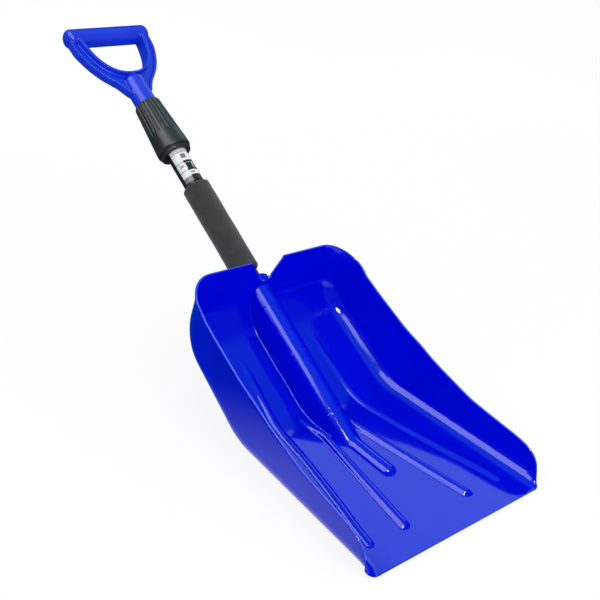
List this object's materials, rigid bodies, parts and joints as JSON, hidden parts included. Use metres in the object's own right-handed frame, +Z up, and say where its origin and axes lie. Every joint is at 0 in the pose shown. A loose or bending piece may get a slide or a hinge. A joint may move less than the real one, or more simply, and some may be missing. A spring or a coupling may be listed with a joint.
{
  "type": "snow shovel",
  "caption": "Compact snow shovel: deep ribbed plastic scoop on a telescoping twist-lock tube handle with a foam sleeve and a D-shaped hand grip.",
  "frame": {"origin": "on the flat underside of the scoop, on the plane of symmetry, 70 mm behind the cutting edge", "axes": "+Z up, +Y from the cutting edge back towards the hand grip, +X to the right of someone holding the grip and facing -Y seen from behind; the handle rises 27.8 degrees above +Y"},
  "size_m": [0.2846, 0.7353, 0.2977],
  "materials": {
    "blue_scoop": "injection-moulded polypropylene, high gloss royal blue",
    "blue_grip": "injection-moulded polypropylene, satin gloss royal blue",
    "black_paint": "gloss black powder coat on aluminium tube",
    "black_paint_inner": "gloss black powder coat on aluminium tube",
    "charcoal_foam": "matte closed-cell foam, fine skin",
    "black_sleeve": "satin black moulded sleeve with flutes",
    "black_nylon": "satin moulded nylon",
    "black_nylon_ring": "satin moulded nylon",
    "natural_nylon": "natural nylon",
    "natural_nylon_plug": "natural nylon",
    "black_plug": "matte moulded plastic",
    "wiper_rubber": "matte rubber",
    "label_film": "silver printed film with plain grey and black bands",
    "zinc_steel": "zinc plated pan-head screw"
  },
  "bodies": {
    "scoop": {"blade": "blue_scoop", "lower_tube": "black_paint", "lower_tube_plug": "black_plug", "foam_grip": "charcoal_foam", "tube_label": "label_film", "collet": "black_nylon", "collar_stop_ring": "black_nylon_ring", "blade_screw_1": "zinc_steel", "blade_screw_2": "zinc_steel"},
    "lock_wedge": {"wedge_ring": "natural_nylon"},
    "lock_sleeve": {"lock_collar": "black_sleeve", "wiper_ring": "wiper_rubber"},
    "slider": {"guide_plug": "natural_nylon_plug"},
    "upper_handle": {"upper_tube": "black_paint_inner", "d_grip": "blue_grip", "grip_screw": "zinc_steel"}
  },
  "joints": [
    {"name": "handle_extend", "type": "slide", "parent": "scoop", "child": "slider", "axis": [0, 0.8846, 0.4664], "range_m": [0, 0.22]},
    {"name": "grip_swivel", "type": "hinge", "parent": "slider", "child": "upper_handle", "pos_m": [0, 0.24949, 0.07256], "axis": [0, 0.8846, 0.4664], "continuous": true},
    {"name": "wedge_slide", "type": "slide", "parent": "scoop", "child": "lock_wedge", "axis": [0, 0.8846, 0.4664], "range_m": [0, 0.002]},
    {"name": "collar_twist", "type": "hinge", "parent": "lock_wedge", "child": "lock_sleeve", "pos_m": [0, 0.46886, 0.18822], "axis": [0, 0.8846, 0.4664], "range_deg": [0, 180]}
  ],
  "couplings": [
    {"joint": "collar_twist", "follows": "wedge_slide", "rad_per_m": 1570.8}
  ]
}
